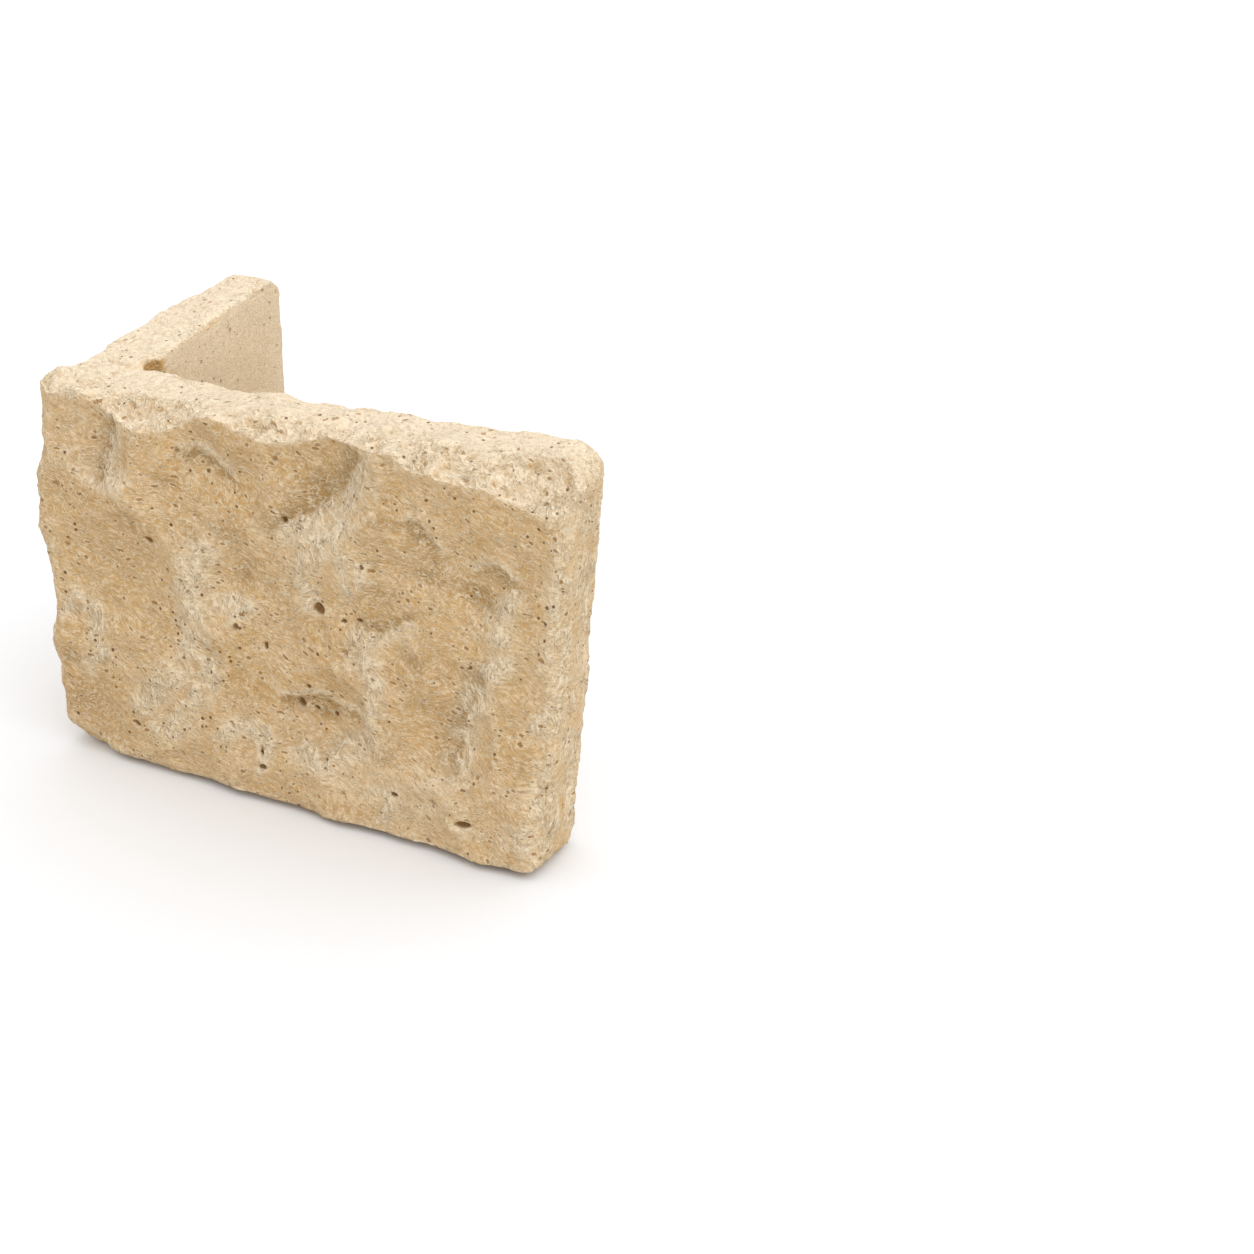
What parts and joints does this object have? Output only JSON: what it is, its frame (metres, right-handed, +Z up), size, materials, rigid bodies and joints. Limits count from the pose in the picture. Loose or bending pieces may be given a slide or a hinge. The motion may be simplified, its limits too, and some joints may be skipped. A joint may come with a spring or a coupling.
{
  "type": "stone cladding corner",
  "caption": "L-shaped rock-faced limestone cladding corner: split outer faces, sawn flat backs and bed, to wrap the outside corner of a wall.",
  "frame": {"origin": "on the bed, where the centre planes of the two legs cross", "axes": "+X along the long leg away from the outside corner, +Y along the short return, +Z up from the bed; the wall stands in the +X +Y quarter"},
  "size_m": [0.2087, 0.1105, 0.1491],
  "materials": {
    "limestone": "split rock face, sawn backs, matte and porous"
  },
  "bodies": {
    "root": {"stone_corner": "limestone"}
  },
  "joints": []
}
